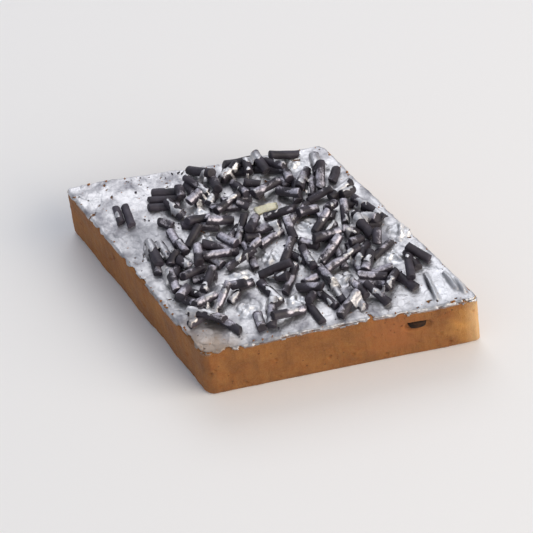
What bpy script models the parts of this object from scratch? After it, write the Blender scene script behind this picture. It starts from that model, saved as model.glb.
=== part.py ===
"""One piece of diamond-cut barfi: a milk-fudge slab under silver leaf and chocolate sprinkles.

Lengths are in metres. The slab lies flat on z = 0, its long diagonal along X and its middle
over the origin. Each sprinkle is let down onto what already lies there, so the loose layer
has the height, the crossings and the gaps of a real one. One union makes a single solid.
"""

import math
import random

import bmesh
import bpy
import numpy as np
from mathutils import Matrix, Vector

MM = 0.001

# Driving dimensions of the cut slab
SIDE = 42.6 * MM
ACUTE_CORNER = math.radians(66.0)
THICKNESS = 10.0 * MM
CORNER_ROUNDING = 1.2 * MM
RIM_ROUNDING = 0.5 * MM

# The two pointed corners sit this far towards the back, as the back cuts are a little shorter
POINTS_BACK = 1.3 * MM

# Waves in the spread surface: height, wavelength and heading of each
TOP_WAVES = (
    (0.16 * MM, 33.0 * MM, math.radians(20)),
    (0.12 * MM, 19.0 * MM, math.radians(105)),
    (0.07 * MM, 12.0 * MM, math.radians(65)),
)

# Bow of the knife cuts
SIDE_BOW = 0.2 * MM
SIDE_WAVE = 23.0 * MM

# Cuts that give the slab enough points to bend
PLAN_CUTS = 7
PLAN_CUT_REACH = 0.84
HEIGHT_CUTS = 2

# Sprinkles: extruded chocolate strands, broken to length
SEED = 162
SPRINKLE_COUNT = 138
SPRINKLE_RADIUS = (0.66 * MM, 0.82 * MM)
SPRINKLE_LENGTH = (3.2 * MM, 6.6 * MM, 4.8 * MM)
CRUMB_LENGTH = (1.9 * MM, 3.0 * MM, 2.4 * MM)
CRUMB_SHARE = 0.16
SPRINKLE_SIDES = 6
SPRINKLE_TAPER = 0.94
PRESSED_IN = 0.3 * MM
STEEPEST = math.tan(math.radians(17))
HIGHEST_BED = 1.1 * MM
TRIES_EACH = 3

# Bare width along each side of the top: front left, front right, back right, back left
BARE_MARGINS = (3.4 * MM, 2.9 * MM, 2.0 * MM, 1.0 * MM)
RIM_CLEARANCE = 0.7 * MM
BARE_LEFT_OF = -17.0 * MM
THIN_LEFT_OF = -12.5 * MM
BARE_RIGHT_OF = 24.6 * MM
BARE_IN_FRONT_OF = -17.0 * MM
THIN_IN_FRONT_OF = -12.0 * MM
THIN_ALONG_FRONT_RIGHT = 5.4 * MM
THIN_SHARE = 0.4

# Open places in the pile, where the leaf shows: x, y and radius in millimetres
OPEN_PLACES = (
    (-12.3, 3.0, 1.9),
    (-9.0, -1.5, 1.8),
    (-0.9, -6.8, 2.1),
    (3.0, -12.6, 2.3),
    (2.0, -2.0, 1.7),
    (4.8, 6.2, 1.9),
    (9.4, -8.8, 1.9),
    (14.2, -1.8, 1.6),
    (18.8, 9.8, 2.2),
    (19.9, 4.6, 1.8),
    (-2.4, 17.6, 1.8),
)

# Sprinkles that lie where a few clear ones do: x, y, heading in degrees, length, all in mm
PLACED_SPRINKLES = (
    (-24.3, -1.9, 130, 3.6),
    (-19.3, 5.2, 24, 4.3),
    (-18.9, 3.8, 27, 5.2),
    (-18.4, 2.3, 29, 4.9),
    (-11.2, 0.5, 16, 6.1),
    (-13.8, -3.4, 139, 3.6),
    (-6.7, -5.1, 163, 4.9),
    (-6.0, -9.1, 34, 3.9),
    (-14.5, -9.0, 125, 4.6),
    (-6.3, -12.5, 177, 6.0),
    (-5.6, -14.4, 173, 5.9),
    (-5.6, 15.4, 14, 5.0),
    (-6.4, 10.4, 155, 3.8),
    (11.8, 2.2, 133, 6.6),
    (14.4, 2.4, 131, 6.2),
    (22.9, 0.9, 161, 6.2),
    (23.0, 4.9, 139, 4.1),
    (6.3, -0.7, 167, 3.3),
    (-1.2, -2.5, 133, 5.8),
    (4.6, -1.5, 93, 6.4),
    (5.9, -14.6, 128, 3.3),
    (0.3, 12.3, 120, 4.9),
    (0.9, 18.6, 122, 4.6),
    (2.9, 15.9, 112, 4.8),
)

# One more, let down last, that lies beside the first of these
LAST_SPRINKLE = (-22.8, -1.5, 131, 4.4)

# A chip of nut among the sprinkles, and the gap in which none of them is scattered
NUT_PLACE = (-2.9 * MM, 7.3 * MM)
NUT_HEADING = math.radians(39)
NUT_SIZE = (3.7 * MM, 1.6 * MM, 1.1 * MM)
NUT_SLANT = math.radians(28)
NUT_NARROWING = 0.3
NUT_TIP = math.radians(6)
NUT_GAP = (-3.2 * MM, 7.2 * MM)
NUT_GAP_RADIUS = 3.0 * MM

# A sprinkle caught in the front right cut, mostly sunk
CAUGHT_ALONG = 0.77
CAUGHT_HEIGHT = 6.6 * MM
CAUGHT_LENGTH = 2.6 * MM
CAUGHT_RADIUS = 0.75 * MM
CAUGHT_PROUD = 0.32 * MM
CAUGHT_TILT = math.radians(2.0)

# Spacing of the height field that sprinkles are let down onto, and the points of a rod that
# feel for it: how many along, and how many radii to each side
CELL = 0.2 * MM
POINTS_ALONG = 16
LINES_ASIDE = (-0.6, 0.0, 0.6)

# Colour, roughness and metallic value of each material
FUDGE = ((0.32, 0.13, 0.045), 0.6, 0.0)
SILVER_LEAF = ((0.76, 0.75, 0.74), 0.35, 1.0)
CHOCOLATE = ((0.028, 0.02, 0.018), 0.45, 0.0)
NUT = ((0.52, 0.46, 0.3), 0.65, 0.0)

HALF_LONG = SIDE * math.cos(ACUTE_CORNER / 2)
HALF_SHORT = SIDE * math.sin(ACUTE_CORNER / 2)

# Corners of the outline, anticlockwise from the left
CORNERS = (
    Vector((-HALF_LONG, POINTS_BACK)),
    Vector((0.0, -HALF_SHORT)),
    Vector((HALF_LONG, POINTS_BACK)),
    Vector((0.0, HALF_SHORT)),
)


def clear_scene():
    for obj in list(bpy.data.objects):
        bpy.data.objects.remove(obj, do_unlink=True)
    for collection in list(bpy.data.collections):
        bpy.data.collections.remove(collection)


def make_material(name, finish):
    colour, roughness, metallic = finish
    material = bpy.data.materials.new(name)
    material.use_nodes = True
    shader = material.node_tree.nodes["Principled BSDF"]
    shader.inputs["Base Color"].default_value = (*colour, 1.0)
    shader.inputs["Roughness"].default_value = roughness
    shader.inputs["Metallic"].default_value = metallic
    material.diffuse_color = (*colour, 1.0)
    return material


def make_object(name, bm, materials, collection):
    mesh = bpy.data.meshes.new(name)
    bm.to_mesh(mesh)
    bm.free()
    for material in materials:
        mesh.materials.append(material)
    obj = bpy.data.objects.new(name, mesh)
    collection.objects.link(obj)
    return obj


def top_height(x, y):
    """Height of the spread surface, for numbers or arrays."""
    height = THICKNESS
    for rise, wavelength, heading in TOP_WAVES:
        along = x * math.cos(heading) + y * math.sin(heading)
        height = height + rise * np.sin(2 * math.pi * along / wavelength)
    return height


def side_bow(x, y):
    """How far a cut side swells outwards, fading out at the corners."""
    fade = (1 - (x / HALF_LONG) ** 2) * (1 - (y / HALF_SHORT) ** 2)
    return SIDE_BOW * fade * math.sin(2 * math.pi * (x - 2 * y) / SIDE_WAVE)


def edge_distances(x, y):
    """Distance inwards from each side of the outline, from the front left one round."""
    distances = []
    for index, corner in enumerate(CORNERS):
        edge = (CORNERS[(index + 1) % 4] - corner).normalized()
        distances.append(edge.x * (y - corner.y) - edge.y * (x - corner.x))
    return distances


def cut_across(bm, point, normal):
    geometry = bm.verts[:] + bm.edges[:] + bm.faces[:]
    bmesh.ops.bisect_plane(bm, geom=geometry, plane_co=point, plane_no=normal, dist=1e-7)


def bevel_edges(bm, edges, width, segments):
    bmesh.ops.bevel(
        bm, geom=edges, offset=width, offset_type="OFFSET", segments=segments,
        profile=0.5, affect="EDGES", material=-1,
    )


def slab_blank():
    """The diamond with its corners and rims rounded, before it is bent."""
    bm = bmesh.new()
    bmesh.ops.create_cube(bm, size=1.0)
    for vertex in bm.verts:
        quarter = math.atan2(vertex.co.y, vertex.co.x) / (math.pi / 2)
        corner = CORNERS[(math.floor(quarter) + 3) % 4]
        height = THICKNESS if vertex.co.z > 0 else 0.0
        vertex.co = corner.to_3d() + Vector((0, 0, height))
    upright = [e for e in bm.edges if abs(e.verts[0].co.z - e.verts[1].co.z) > THICKNESS / 2]
    bevel_edges(bm, upright, CORNER_ROUNDING, 3)
    rims = [e for e in bm.edges if abs(e.verts[0].co.z - e.verts[1].co.z) < THICKNESS / 2]
    rims = [e for e in rims if len(e.link_faces) == 2 and is_rim(e)]
    bevel_edges(bm, rims, RIM_ROUNDING, 2)
    return bm


def is_rim(edge):
    """True where a level face meets a wall."""
    slopes = sorted(abs(face.normal.z) for face in edge.link_faces)
    return slopes[0] < 0.5 < slopes[1]


def make_slab(silver_index):
    bm = slab_blank()
    across = SIDE * math.sin(ACUTE_CORNER) / 2
    for sign in (1, -1):
        along = Vector((HALF_LONG, sign * HALF_SHORT, 0)).normalized()
        normal = Vector((-along.y, along.x, 0))
        for offset in np.linspace(-PLAN_CUT_REACH, PLAN_CUT_REACH, PLAN_CUTS):
            cut_across(bm, normal * offset * across, normal)
    for step in range(1, HEIGHT_CUTS + 1):
        level = THICKNESS * step / (HEIGHT_CUTS + 1)
        cut_across(bm, Vector((0, 0, level)), Vector((0, 0, 1)))
    bm.normal_update()
    for vertex in bm.verts:
        x, y, z = vertex.co
        outward = vertex.normal.to_2d().to_3d()
        vertex.co += outward * side_bow(x, y)
        vertex.co.z += (top_height(x, y) - THICKNESS) * z / THICKNESS
    bm.normal_update()
    for face in bm.faces:
        if face.normal.z > 0.9:
            face.material_index = silver_index
    bmesh.ops.triangulate(bm, faces=bm.faces[:])
    return bm


class Bed:
    """The height of what lies on the slab so far, on a square grid."""

    def __init__(self):
        self.start = Vector((-HALF_LONG, -HALF_SHORT))
        columns = np.arange(-HALF_LONG, HALF_LONG + CELL, CELL)
        rows = np.arange(-HALF_SHORT, HALF_SHORT + CELL, CELL)
        self.x, self.y = np.meshgrid(columns, rows, indexing="ij")
        self.height = top_height(self.x, self.y)

    def under(self, x, y):
        column = np.clip(np.rint((x - self.start.x) / CELL), 0, self.height.shape[0] - 1)
        row = np.clip(np.rint((y - self.start.y) / CELL), 0, self.height.shape[1] - 1)
        return self.height[column.astype(int), row.astype(int)]

    def rest(self, x, y, heading, length, radius):
        """Height and slope of the line that a rod's lower edge comes to rest on."""
        along = np.linspace(-length / 2, length / 2, POINTS_ALONG)
        heights = np.full(along.shape, -1.0)
        for share in LINES_ASIDE:
            aside = share * radius
            lift = radius - math.sqrt(radius**2 - aside**2)
            below = self.under(
                x + along * math.cos(heading) - aside * math.sin(heading),
                y + along * math.sin(heading) + aside * math.cos(heading),
            )
            heights = np.maximum(heights, below - lift)
        best, slope = -1.0, 0.0
        half = len(along) // 2
        for i in range(half):
            for j in range(half, len(along)):
                rise = (heights[j] - heights[i]) / (along[j] - along[i])
                middle = heights[i] - rise * along[i]
                if middle > best:
                    best, slope = middle, rise
        slope = max(-STEEPEST, min(STEEPEST, slope))
        return float(np.max(heights - slope * along)), slope

    def add(self, x, y, heading, length, radius, axis_height, slope):
        """Raises the grid where the rod covers it."""
        along = (self.x - x) * math.cos(heading) + (self.y - y) * math.sin(heading)
        aside = (self.y - y) * math.cos(heading) - (self.x - x) * math.sin(heading)
        covered = (abs(along) < length / 2) & (abs(aside) < radius)
        crown = np.sqrt(np.maximum(radius**2 - aside**2, 0)) + axis_height + slope * along
        self.height = np.where(covered, np.maximum(self.height, crown), self.height)


def lay(bed, x, y, heading, length, radius):
    """Lets a rod down onto the bed and returns its middle, direction, length and radius."""
    level, slope = bed.rest(x, y, heading, length, radius)
    axis_height = level + radius - PRESSED_IN
    bed.add(x, y, heading, length, radius, axis_height, slope)
    direction = Vector((math.cos(heading), math.sin(heading), slope)).normalized()
    return Vector((x, y, axis_height)), direction, length, radius


def covers(x, y, heading, length, place):
    """True where a rod reaches into this open place."""
    offset = Vector(place[:2]) * MM - Vector((x, y))
    direction = Vector((math.cos(heading), math.sin(heading)))
    along = max(-length / 2, min(length / 2, offset.dot(direction)))
    return (offset - direction * along).length < place[2] * MM


def fits(x, y, heading, length, draw):
    """True where a scattered sprinkle would be wanted, by the bare and thin places."""
    if x < BARE_LEFT_OF or x > BARE_RIGHT_OF or y < BARE_IN_FRONT_OF:
        return False
    if math.dist((x, y), NUT_GAP) < NUT_GAP_RADIUS:
        return False
    if min(d - m for d, m in zip(edge_distances(x, y), BARE_MARGINS)) < 0:
        return False
    if any(covers(x, y, heading, length, place) for place in OPEN_PLACES):
        return False
    for end in (-length / 2, length / 2):
        tip = (x + end * math.cos(heading), y + end * math.sin(heading))
        if min(edge_distances(*tip)) < RIM_CLEARANCE:
            return False
    thin = x < THIN_LEFT_OF or y < THIN_IN_FRONT_OF
    thin = thin or edge_distances(x, y)[1] < THIN_ALONG_FRONT_RIGHT
    return not thin or draw < THIN_SHARE


def draw_sprinkle(rng):
    """A place, heading, length and radius that fit, drawn at random."""
    while True:
        x = rng.uniform(-HALF_LONG, HALF_LONG)
        y = rng.uniform(-HALF_SHORT, HALF_SHORT)
        heading = rng.uniform(0, math.pi)
        size = CRUMB_LENGTH if rng.random() < CRUMB_SHARE else SPRINKLE_LENGTH
        length = rng.triangular(*size)
        radius = rng.uniform(*SPRINKLE_RADIUS)
        if fits(x, y, heading, length, rng.random()):
            return x, y, heading, length, radius


def place_sprinkles(places, bed, rng):
    laid = []
    for x, y, heading, length in places:
        radius = rng.uniform(*SPRINKLE_RADIUS)
        laid.append(lay(bed, x * MM, y * MM, math.radians(heading), length * MM, radius))
    return laid


def scatter_sprinkles(bed, rng, count):
    """Each sprinkle takes the lowest of a few places drawn for it, as if it had rolled there."""
    laid = []
    while len(laid) < count:
        tries = [draw_sprinkle(rng) for _ in range(TRIES_EACH)]
        levels = [bed.rest(*sprinkle)[0] for sprinkle in tries]
        lowest = levels.index(min(levels))
        if levels[lowest] < THICKNESS + HIGHEST_BED:
            laid.append(lay(bed, *tries[lowest]))
    return laid


def caught_sprinkle():
    """Middle, direction, length and radius of the sprinkle sunk in the front right cut."""
    front, right = CORNERS[1], CORNERS[2]
    along = (right - front).normalized().to_3d()
    outward = Vector((along.y, -along.x, 0))
    middle = front.lerp(right, CAUGHT_ALONG).to_3d() + Vector((0, 0, CAUGHT_HEIGHT))
    middle += outward * (side_bow(middle.x, middle.y) + CAUGHT_PROUD - CAUGHT_RADIUS)
    sunk = Vector((0, 0, -1)) - outward
    direction = (along + sunk * math.tan(CAUGHT_TILT)).normalized()
    return middle, direction, CAUGHT_LENGTH, CAUGHT_RADIUS


def make_rod(middle, direction, length, radius, roll):
    bm = bmesh.new()
    turn = direction.to_track_quat("Z", "Y").to_matrix().to_4x4()
    bmesh.ops.create_cone(
        bm, cap_ends=True, segments=SPRINKLE_SIDES, radius1=radius,
        radius2=radius * SPRINKLE_TAPER, depth=length,
        matrix=Matrix.Translation(middle) @ turn @ Matrix.Rotation(roll, 4, "Z"),
    )
    return bm


def make_nut(bed):
    """A split chip: a small block with slanted ends, tipped a little to one side."""
    long, wide, high = NUT_SIZE
    level, slope = bed.rest(*NUT_PLACE, NUT_HEADING, long, wide / 2)
    bm = bmesh.new()
    bmesh.ops.create_cube(bm, size=1.0)
    bmesh.ops.scale(bm, vec=NUT_SIZE, verts=bm.verts[:])
    for vertex in bm.verts:
        vertex.co.x += vertex.co.z * math.tan(NUT_SLANT)
        vertex.co.y *= 1 - NUT_NARROWING * vertex.co.x / long
    tip = math.atan(slope) + NUT_TIP
    place = Matrix.Translation((*NUT_PLACE, level + high / 2 - 2 * PRESSED_IN))
    turn = Matrix.Rotation(NUT_HEADING, 4, "Z") @ Matrix.Rotation(-tip, 4, "Y")
    bmesh.ops.transform(bm, matrix=place @ turn, verts=bm.verts[:])
    return bm


def keep_outer_skin(mesh):
    """Drops pockets that the fused sprinkles seal and any scrap that came loose."""
    bm = bmesh.new()
    bm.from_mesh(mesh)
    left = set(bm.verts)
    shells = []
    while left:
        shell = set()
        front = [left.pop()]
        while front:
            vertex = front.pop()
            shell.add(vertex)
            near = {edge.other_vert(vertex) for edge in vertex.link_edges} & left
            left -= near
            front.extend(near)
        shells.append(shell)
    outer = max(shells, key=len)
    bmesh.ops.delete(bm, geom=[v for v in bm.verts if v not in outer], context="VERTS")
    bm.to_mesh(mesh)
    bm.free()


def fuse(piece, toppings):
    """Unites the toppings with the slab, applies the result and removes the toppings."""
    union = piece.modifiers.new("toppings", "BOOLEAN")
    union.operation = "UNION"
    union.operand_type = "COLLECTION"
    union.collection = toppings
    union.solver = "EXACT"
    union.material_mode = "TRANSFER"
    graph = bpy.context.evaluated_depsgraph_get()
    fused = bpy.data.meshes.new_from_object(piece.evaluated_get(graph))
    piece.modifiers.remove(union)
    blank = piece.data
    piece.data = fused
    fused.name = blank.name
    bpy.data.meshes.remove(blank)
    for topping in list(toppings.objects):
        bpy.data.objects.remove(topping, do_unlink=True)
    bpy.data.collections.remove(toppings)
    keep_outer_skin(piece.data)


def main():
    clear_scene()
    parts = bpy.data.collections.new("barfi_piece")
    toppings = bpy.data.collections.new("toppings")
    for collection in (parts, toppings):
        bpy.context.scene.collection.children.link(collection)

    fudge = make_material("fudge", FUDGE)
    silver = make_material("silver_leaf", SILVER_LEAF)
    chocolate = make_material("chocolate", CHOCOLATE)
    nut = make_material("nut", NUT)

    piece = make_object("barfi", make_slab(silver_index=1), [fudge, silver], parts)
    rng = random.Random(SEED)
    bed = Bed()
    sprinkles = place_sprinkles(PLACED_SPRINKLES, bed, rng)
    sprinkles += scatter_sprinkles(bed, rng, SPRINKLE_COUNT - len(sprinkles))
    sprinkles += place_sprinkles([LAST_SPRINKLE], bed, rng)
    sprinkles.append(caught_sprinkle())
    make_object("nut_chip", make_nut(bed), [nut], toppings)
    for index, sprinkle in enumerate(sprinkles):
        rod = make_rod(*sprinkle, roll=rng.uniform(0, math.pi))
        make_object(f"sprinkle_{index:03d}", rod, [chocolate], toppings)
    fuse(piece, toppings)
    piece.data.shade_smooth()
    piece.data.set_sharp_from_angle(angle=math.radians(35))


main()
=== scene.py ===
"""A piece of diamond-cut barfi, dressed for the camera.

The slab, the silver leaf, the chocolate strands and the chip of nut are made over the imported
solid, in metres and in its frame. The strands are let down onto the slab by the rule that
shaped the solid, so each one lies where the solid has it.
"""

import math
import random

import bmesh
import bpy
import numpy as np
from mathutils import Matrix, Vector, noise
from mathutils.bvhtree import BVHTree


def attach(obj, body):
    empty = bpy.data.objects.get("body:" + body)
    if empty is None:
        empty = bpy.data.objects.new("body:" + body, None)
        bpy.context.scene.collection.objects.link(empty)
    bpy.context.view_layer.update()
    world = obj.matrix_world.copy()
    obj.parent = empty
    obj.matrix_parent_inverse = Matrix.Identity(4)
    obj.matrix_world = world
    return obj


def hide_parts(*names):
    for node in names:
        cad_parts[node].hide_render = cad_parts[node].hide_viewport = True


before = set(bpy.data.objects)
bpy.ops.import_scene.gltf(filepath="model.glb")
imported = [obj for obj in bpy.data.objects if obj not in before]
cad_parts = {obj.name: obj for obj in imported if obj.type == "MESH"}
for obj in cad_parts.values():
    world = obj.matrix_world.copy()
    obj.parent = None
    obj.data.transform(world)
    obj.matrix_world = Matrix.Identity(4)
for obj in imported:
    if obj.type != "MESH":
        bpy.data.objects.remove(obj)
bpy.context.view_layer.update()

MM = 0.001

# The cut slab, as in the solid
SIDE = 42.6 * MM
ACUTE_CORNER = math.radians(66.0)
THICKNESS = 10.0 * MM
CORNER_ROUNDING = 1.2 * MM
RIM_ROUNDING = 0.5 * MM
POINTS_BACK = 1.3 * MM
TOP_WAVES = (
    (0.16 * MM, 33.0 * MM, math.radians(20)),
    (0.12 * MM, 19.0 * MM, math.radians(105)),
    (0.07 * MM, 12.0 * MM, math.radians(65)),
)
SIDE_BOW = 0.2 * MM
SIDE_WAVE = 23.0 * MM

# Segments of its rounded corners and rims, and the fine cuts that give it its skin
CORNER_SEGMENTS = 6
RIM_SEGMENTS = 4
PLAN_CUTS = 99
HEIGHT_CUTS = 23

# The upright part of a face's normal is less than this on the underside, and more on the top
UNDERSIDE_NORMAL = -0.9
TOP_NORMAL = 0.85

# Roughness of the fudge, each as a wavelength and a height: broad lumps, the grain of the cut
# faces, the blade's drag down them, stretched upright, and the chips of the rims, which are
# worn this much at least
LUMPS = (3.4 * MM, 0.09 * MM)
GRAIN = (0.95 * MM, 0.05 * MM)
DRAG = (0.8 * MM, 0.06 * MM)
DRAG_STRETCH = 0.12
CHIPS = ((2.1 * MM, 0.275 * MM), (0.8 * MM, 0.1925 * MM))
LEAST_WEAR = 0.055 * MM

# Air pits in the cut faces, and how their places are shuffled to leave some of them out
PIT_SPACING = 1.9 * MM
PIT_RADIUS = 0.36 * MM
PIT_DEPTH = 0.3 * MM
PIT_SHUFFLE = 3.7
PIT_RARITY = 0.1

# The hollow round the caught sprinkle, its middle and width in radii of that sprinkle
DENT_MIDDLE = 0.95
DENT_WIDTH = 0.55
DENT_DEPTH = 0.5 * MM

# Sprinkles, as in the solid. Each row of the two lists is x and y in millimetres, then the
# radius of an open place, or a sprinkle's heading in degrees and its length.
SEED = 162
SPRINKLE_COUNT = 138
SPRINKLE_RADIUS = (0.66 * MM, 0.82 * MM)
SPRINKLE_LENGTH = (3.2 * MM, 6.6 * MM, 4.8 * MM)
CRUMB_LENGTH = (1.9 * MM, 3.0 * MM, 2.4 * MM)
CRUMB_SHARE = 0.16
PRESSED_IN = 0.3 * MM
STEEPEST = math.tan(math.radians(17))
HIGHEST_BED = 1.1 * MM
TRIES_EACH = 3
BARE_MARGINS = (3.4 * MM, 2.9 * MM, 2.0 * MM, 1.0 * MM)
RIM_CLEARANCE = 0.7 * MM
OPEN_PLACES = (
    (-12.3, 3.0, 1.9),
    (-9.0, -1.5, 1.8),
    (-0.9, -6.8, 2.1),
    (3.0, -12.6, 2.3),
    (2.0, -2.0, 1.7),
    (4.8, 6.2, 1.9),
    (9.4, -8.8, 1.9),
    (14.2, -1.8, 1.6),
    (18.8, 9.8, 2.2),
    (19.9, 4.6, 1.8),
    (-2.4, 17.6, 1.8),
)
BARE_LEFT_OF = -17.0 * MM
THIN_LEFT_OF = -12.5 * MM
BARE_RIGHT_OF = 24.6 * MM
BARE_IN_FRONT_OF = -17.0 * MM
THIN_IN_FRONT_OF = -12.0 * MM
THIN_ALONG_FRONT_RIGHT = 5.4 * MM
THIN_SHARE = 0.4
PLACED_SPRINKLES = (
    (-24.3, -1.9, 130, 3.6),
    (-19.3, 5.2, 24, 4.3),
    (-18.9, 3.8, 27, 5.2),
    (-18.4, 2.3, 29, 4.9),
    (-11.2, 0.5, 16, 6.1),
    (-13.8, -3.4, 139, 3.6),
    (-6.7, -5.1, 163, 4.9),
    (-6.0, -9.1, 34, 3.9),
    (-14.5, -9.0, 125, 4.6),
    (-6.3, -12.5, 177, 6.0),
    (-5.6, -14.4, 173, 5.9),
    (-5.6, 15.4, 14, 5.0),
    (-6.4, 10.4, 155, 3.8),
    (11.8, 2.2, 133, 6.6),
    (14.4, 2.4, 131, 6.2),
    (22.9, 0.9, 161, 6.2),
    (23.0, 4.9, 139, 4.1),
    (6.3, -0.7, 167, 3.3),
    (-1.2, -2.5, 133, 5.8),
    (4.6, -1.5, 93, 6.4),
    (5.9, -14.6, 128, 3.3),
    (0.3, 12.3, 120, 4.9),
    (0.9, 18.6, 122, 4.6),
    (2.9, 15.9, 112, 4.8),
)
LAST_SPRINKLE = (-22.8, -1.5, 131, 4.4)
NUT_PLACE = (-2.9 * MM, 7.3 * MM)
NUT_HEADING = math.radians(39)
NUT_SIZE = (3.7 * MM, 1.6 * MM, 1.1 * MM)
NUT_SLANT = math.radians(28)
NUT_NARROWING = 0.3
NUT_TIP = math.radians(6)
NUT_GAP = (-3.2 * MM, 7.2 * MM)
NUT_GAP_RADIUS = 3.0 * MM
CAUGHT_ALONG = 0.77
CAUGHT_HEIGHT = 6.6 * MM
CAUGHT_LENGTH = 2.6 * MM
CAUGHT_RADIUS = 0.75 * MM
CAUGHT_PROUD = 0.32 * MM
CAUGHT_TILT = math.radians(2.0)
CELL = 0.2 * MM
POINTS_ALONG = 16
LINES_ASIDE = (-0.6, 0.0, 0.6)

# How far the ends of the caught sprinkle dive into the cut
CAUGHT_DIVE = 0.3 * MM

# Each strand: sides, rings along it, taper, and bend, with the squared share of its half length
# that stays in line. Its lumps, rounded edge, and the inset and roughness of its ends are
# shares of its radius.
STRAND_SIDES = 14
STRAND_RINGS = 9
STRAND_TAPER = 0.94
STRAND_BEND = 0.22 * MM
UNBENT_AT = 0.33
STRAND_LUMPS = (1.6 * MM, 0.1)
STRAND_EDGE = 0.16
STRAND_END_INSET = 0.35
BREAK_GRAIN = (0.5 * MM, 0.12)

# The slant of a broken end, and the shares of the half length where it and the break start
BREAK_SLANT = 0.45
SLANTED_FROM = 0.75
BROKEN_FROM = 0.98

# The chip of nut: its rounded edge, its cuts, and the roughness of its split faces
NUT_EDGE = 0.16 * MM
NUT_CUTS = 7
NUT_SPLITS = ((1.7 * MM, 0.22 * MM), (0.5 * MM, 0.07 * MM))

# Silver leaf: height over the fudge, thickness, and how far down the rims it is kept. The faces
# with more sides than this, where the cuts crowd at the corners, are left out.
LEAF_LIFT = 0.05 * MM
LEAF_THICKNESS = 0.02 * MM
LEAF_LOWEST_NORMAL = 0.25
LEAF_FOLDED_DOWN = 2.5 * RIM_ROUNDING
LEAF_MOST_SIDES = 8

# Its ragged edge, how far over the outline that hangs, and how far it is drawn back along the
# front left side
LEAF_RAGS = ((4.6 * MM, 0.9 * MM), (1.3 * MM, 0.63 * MM))
LEAF_OVERHANG = 0.135 * MM
LEAF_PULLED_BACK = 0.2 * MM

# Splits in it: their waves, width, and the size of the areas that have any
SPLIT_WAVES = ((5.5 * MM, 1.0), (1.9 * MM, 0.5))
SPLIT_WIDTH = 0.035
SPLIT_AREAS = 9 * MM

# Its creases and those of the shreds, each as a wavelength, a sharpness and a height
CREASES = (3.1 * MM, 7, 0.12 * MM)
FINE_CREASES = (1.2 * MM, 4, 0.05 * MM)
SHRED_CREASES = (0.7 * MM, 5, 0.06 * MM)

# Fewest faces in a scrap of leaf, and in a shred, that is kept
LEAF_SCRAP = 12
SHRED_SCRAP = 10

# Where the leaf is rubbed thin; where it is pressed dull and greyed with painted shade of the
# pile;
# and where a painted bright reflection lies on it
RUBBED_PLACE = (0.0, -22.0 * MM, 10.0 * MM)
RUBBED_RADIUS = 7.0 * MM
PRESSED_AND_SHADED_PLACE = (-18.6 * MM, -4.6 * MM, 10.0 * MM)
PRESSED_AND_SHADED_RADIUS = 7.2 * MM
PAINTED_REFLECTION_PLACE = (28.0 * MM, 1.5 * MM, 10.0 * MM)
PAINTED_REFLECTION_RADIUS = 8.0 * MM

# Leaf that went over the sprinkles: its grid, steepest fall and reach in cells, and where most
# of it lies, as x, y and radius in millimetres
DRAPE_CELL = 0.11 * MM
DRAPE_SLOPE = 2.2
DRAPE_REACH = 9
DRAPE_LIFT = 0.04 * MM
WRAPPED_PLACES = (
    (-15.5, -7.0, 4.4),
    (-2.0, -15.0, 4.4),
    (6.0, -11.0, 4.4),
    (-8.0, 14.5, 4.4),
    (1.0, 18.5, 4.0),
    (15.5, -4.5, 3.6),
    (-12.5, 6.5, 3.2),
    (12.0, 9.5, 3.4),
    (18.3, 8.4, 2.4),
    (19.5, 3.3, 2.0),
    (7.0, 15.5, 3.0),
    (19.0, -6.5, 2.6),
)
WRAPPED_SHARE = 0.62
STRAY_SHARE = 0.19

# Its shreds: large and small waves of their outline, and how much of those is left clear. They
# tear where the sheet is steep, lies on the leaf below, or is near the rims.
SHREDS = (2.6 * MM, 0.7)
SMALL_SHREDS = (0.9 * MM, 0.45)
SHREDS_CLEAR = 0.4
STEEP_TEAR = 0.3
SHRED_CLEARANCE = 0.35 * MM
SHRED_MARGIN = 1.0 * MM
SHRED_SMOOTHING = 0.4

# The strands carry more leaf within the nearer of these distances from the pile's middle
PILE_MIDDLE = (2.0 * MM, -1.0 * MM, 11.0 * MM)
PILE_REACH = (17.0 * MM, 22.0 * MM)

# Where the front right cut is oilier, where a painted glow stands for the light coming through
# its thin corner, and between which x a painted highlight lies on its last rounded edge
OILY_PLACE = (23.5 * MM, -5.5 * MM, 6.0 * MM)
OILY_RADIUS = 6.5 * MM
PAINTED_GLOW_PLACE = (35.0 * MM, 0.5 * MM, 5.0 * MM)
PAINTED_GLOW_RADIUS = 5.5 * MM
PAINTED_HIGHLIGHT_SPAN = (33.4 * MM, 35.0 * MM)

# Folds of the leaf by the right corner: x, y, heading and length in the part's millimetres and
# degrees, and how dark the painted shade beside them is
FOLDS = (
    (27.7, 1.1, 131, 6.2, 1.0),
    (30.2, 3.0, 141, 4.6, 0.55),
    (31.9, 2.6, 140, 3.8, 0.7),
    (18.8, 10.3, 113, 2.7, 0.3),
)
FOLD_WIDTH = 0.6 * MM
FOLD_HEIGHT = 0.9 * MM
SHADE_ASIDE = 0.42 * MM
SHADE_WIDTH = 0.5 * MM

# The leaf is darker along the two front rims, this far in and this much at the rim, mottled,
# and not by the left corner
DARKENED_MARGINS = (3.4 * MM, 1.8 * MM)
RIM_DARKENING = 0.34
MOTTLE = (0.8 * MM, 1.2)
UNDARKENED_LEFT_OF = -25.0 * MM
DARKENED_RIGHT_OF = -15.0 * MM

# How high the leaf is tufted up in the open places between the strands, and the share of that
# where the waves of the tufts are level
TUFT_HEIGHT = 0.7 * MM
TUFTS = (0.9 * MM, 1.0)
LEVEL_TUFT = 0.5

# Loose crumbs of chocolate on the bare leaf, and how high they stand as a share of their size
DUST_COUNT = 80
DUST_SIZE = (0.07 * MM, 0.2 * MM)
DUST_STANDS = 0.5
BARE_BELOW = 0.1 * MM

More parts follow.
